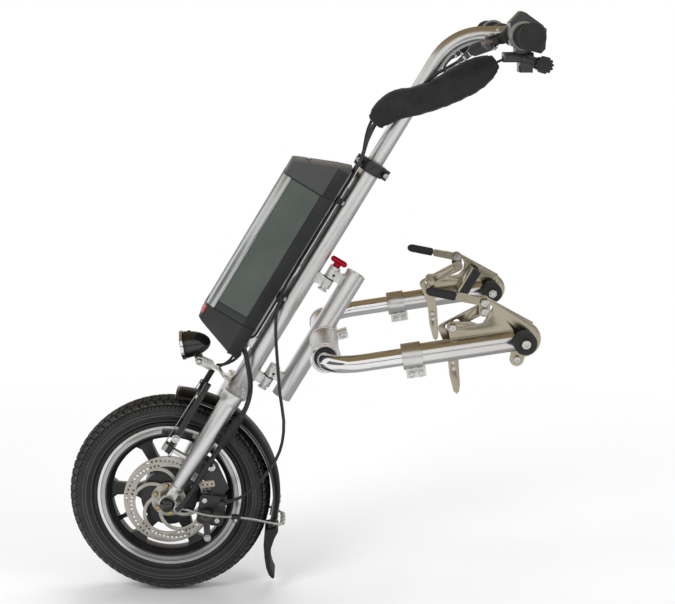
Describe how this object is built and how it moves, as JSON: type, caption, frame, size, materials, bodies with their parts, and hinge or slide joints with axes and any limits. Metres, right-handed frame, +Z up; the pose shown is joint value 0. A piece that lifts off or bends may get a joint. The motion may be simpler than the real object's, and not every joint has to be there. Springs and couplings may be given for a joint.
{
  "type": "wheelchair power assist",
  "caption": "Front-wheel power unit that docks to a manual wheelchair: hub-motor wheel, raked fork, battery on the steering column, handlebar and latching arms.",
  "frame": {"origin": "on the ground, midway between the front of the tyre and the rear of the throttle, on the middle plane", "axes": "+Z up, -X the way of travel, -Y the rider's left"},
  "size_m": [0.7178, 0.526, 0.9078],
  "materials": {
    "silver_frame": "satin silver coat",
    "chrome_bar": "bright chrome",
    "plated_steel": "zinc plated",
    "bright_steel": "ground steel",
    "tyre_rubber": "moulded rubber",
    "soft_rubber": "matt rubber",
    "black_casting": "black powder coat",
    "black_plastic": "moulded plastic",
    "dark_plastic": "fine-grained plastic",
    "battery_grey": "satin plastic",
    "neoprene": "knitted neoprene",
    "cable_jacket": "smooth jacket",
    "lens_clear": "clear lens",
    "red_anodised": "red anodised",
    "red_plastic": "gloss plastic",
    "winding": "enamelled wire",
    "board_green": "coated board",
    "cell_wrap": "shrink wrap"
  },
  "bodies": {
    "dock_frame": {"post_tube": "silver_frame", "hinge_pins": "bright_steel", "dock_bar": "chrome_bar"},
    "lock_handle": {"lock_handle": "red_anodised"},
    "front_frame": {"column_tube": "silver_frame", "fork_crown": "silver_frame", "fork_legs": "silver_frame", "wheel_axle": "bright_steel", "axle_nuts": "black_plastic", "motor_stator": "winding", "mudguard": "black_plastic", "guard_stay": "bright_steel", "mud_flap": "black_plastic", "disc_caliper": "black_casting", "battery_rail": "silver_frame", "battery_base": "dark_plastic", "controller_board": "board_green", "battery_case": "battery_grey", "battery_cap": "dark_plastic", "battery_cells": "cell_wrap", "headlight_bracket": "bright_steel", "stem_clamp": "black_casting", "stem_tube": "silver_frame", "hand_grips": "soft_rubber", "lever_perches": "black_casting", "control_unit": "dark_plastic", "cable_sleeve": "neoprene", "brake_cables": "cable_jacket", "wiring": "cable_jacket"},
    "wheel": {"tyre": "tyre_rubber", "inner_tube": "soft_rubber", "wheel_casting": "black_casting", "motor_cover": "black_casting", "magnet_ring": "bright_steel", "wheel_bearings": "bright_steel", "brake_rotor": "bright_steel", "rotor_bolts": "bright_steel"},
    "caliper_arm": {"caliper_arm": "black_casting"},
    "rim_brake_left": {"rim_brake_arm_left": "black_casting"},
    "rim_brake_right": {"rim_brake_arm_right": "black_casting"},
    "brake_lever_left": {"brake_lever_left": "black_casting"},
    "brake_lever_right": {"brake_lever_right": "black_casting"},
    "throttle": {"throttle": "black_plastic"},
    "power_button": {"power_button": "red_plastic"},
    "headlight": {"headlight_shell": "black_plastic", "headlight_lens": "lens_clear"},
    "arm_left": {"arm_tube_left": "silver_frame", "arm_collar_left": "silver_frame", "latch_plate_left": "plated_steel", "dock_rubber_left": "soft_rubber"},
    "latch_lever_left": {"latch_lever_left": "plated_steel", "lever_grip_left": "soft_rubber"},
    "latch_hook_left": {"latch_hook_left": "plated_steel"},
    "arm_right": {"arm_tube_right": "silver_frame", "arm_collar_right": "silver_frame", "latch_plate_right": "plated_steel", "dock_rubber_right": "soft_rubber"},
    "latch_lever_right": {"latch_lever_right": "plated_steel", "lever_grip_right": "soft_rubber"},
    "latch_hook_right": {"latch_hook_right": "plated_steel"}
  },
  "joints": [
    {"name": "steering", "type": "hinge", "parent": "dock_frame", "child": "front_frame", "pos_m": [0.00259, 0, 0.42134], "axis": [0.518, 0, 0.8554], "range_deg": [-45, 45]},
    {"name": "lock_handle_turn", "type": "hinge", "parent": "dock_frame", "child": "lock_handle", "pos_m": [0.06475, 0, 0.52399], "axis": [0.518, 0, 0.8554], "range_deg": [0, 90]},
    {"name": "wheel_spin", "type": "hinge", "parent": "front_frame", "child": "wheel", "pos_m": [-0.20044, 0, 0.1585], "axis": [0, 1, 0], "continuous": true},
    {"name": "brake_lever_left_pull", "type": "hinge", "parent": "front_frame", "child": "brake_lever_left", "pos_m": [0.28695, -0.096, 0.86507], "axis": [-0.2419, 0, 0.9703], "range_deg": [0, 12], "stiffness_Nm_per_rad": 1.2, "springref_deg": -14.32},
    {"name": "brake_lever_right_pull", "type": "hinge", "parent": "front_frame", "child": "brake_lever_right", "pos_m": [0.28695, 0.096, 0.86507], "axis": [0.2419, 0, -0.9703], "range_deg": [0, 12], "stiffness_Nm_per_rad": 1.2, "springref_deg": -14.32},
    {"name": "caliper_arm_turn", "type": "hinge", "parent": "front_frame", "child": "caliper_arm", "pos_m": [-0.14077, -0.06, 0.13986], "axis": [0, -1, 0], "range_deg": [0, 15]},
    {"name": "rim_brake_left_swing", "type": "hinge", "parent": "front_frame", "child": "rim_brake_left", "pos_m": [-0.19528, -0.05, 0.24423], "axis": [-0.8554, 0, 0.518], "range_deg": [0, 3.2]},
    {"name": "rim_brake_right_swing", "type": "hinge", "parent": "front_frame", "child": "rim_brake_right", "pos_m": [-0.19528, 0.05, 0.24423], "axis": [0.8554, 0, -0.518], "range_deg": [0, 3.2]},
    {"name": "throttle_turn", "type": "hinge", "parent": "front_frame", "child": "throttle", "pos_m": [0.34694, -0.19, 0.83429], "axis": [0, 1, 0], "range_deg": [0, 40], "stiffness_Nm_per_rad": 0.12, "springref_deg": -17.19},
    {"name": "power_button_press", "type": "slide", "parent": "front_frame", "child": "power_button", "axis": [-1, 0, 0], "range_m": [0, 0.002], "stiffness_N_per_m": 600, "springref_m": -0.002},
    {"name": "headlight_tilt", "type": "hinge", "parent": "front_frame", "child": "headlight", "pos_m": [-0.15144, 0, 0.3725], "axis": [0, 1, 0], "range_deg": [-20, 20]},
    {"name": "arm_slide_left", "type": "slide", "parent": "dock_frame", "child": "arm_left", "axis": [0.989, 0, 0.1478], "range_m": [-0.02, 0.045]},
    {"name": "latch_lever_turn_left", "type": "hinge", "parent": "arm_left", "child": "latch_lever_left", "pos_m": [0.26867, -0.2, 0.50193], "axis": [0, 1, 0], "range_deg": [0, 60]},
    {"name": "latch_hook_turn_left", "type": "hinge", "parent": "latch_lever_left", "child": "latch_hook_left", "pos_m": [0.26931, -0.2, 0.48888], "axis": [0, 1, 0], "range_deg": [-74, 0]},
    {"name": "arm_slide_right", "type": "slide", "parent": "dock_frame", "child": "arm_right", "axis": [0.989, 0, 0.1478], "range_m": [-0.02, 0.045]},
    {"name": "latch_lever_turn_right", "type": "hinge", "parent": "arm_right", "child": "latch_lever_right", "pos_m": [0.26867, 0.2, 0.50193], "axis": [0, 1, 0], "range_deg": [0, 60]},
    {"name": "latch_hook_turn_right", "type": "hinge", "parent": "latch_lever_right", "child": "latch_hook_right", "pos_m": [0.26931, 0.2, 0.48888], "axis": [0, 1, 0], "range_deg": [-74, 0]}
  ],
  "couplings": [
    {"joint": "caliper_arm_turn", "follows": "brake_lever_left_pull", "ratio": 1.25},
    {"joint": "rim_brake_left_swing", "follows": "brake_lever_right_pull", "ratio": 0.2583},
    {"joint": "rim_brake_right_swing", "follows": "brake_lever_right_pull", "ratio": 0.2583},
    {"joint": "latch_hook_turn_left", "follows": "latch_lever_turn_left", "ratio": -1.225},
    {"joint": "latch_hook_turn_right", "follows": "latch_lever_turn_right", "ratio": -1.225}
  ]
}
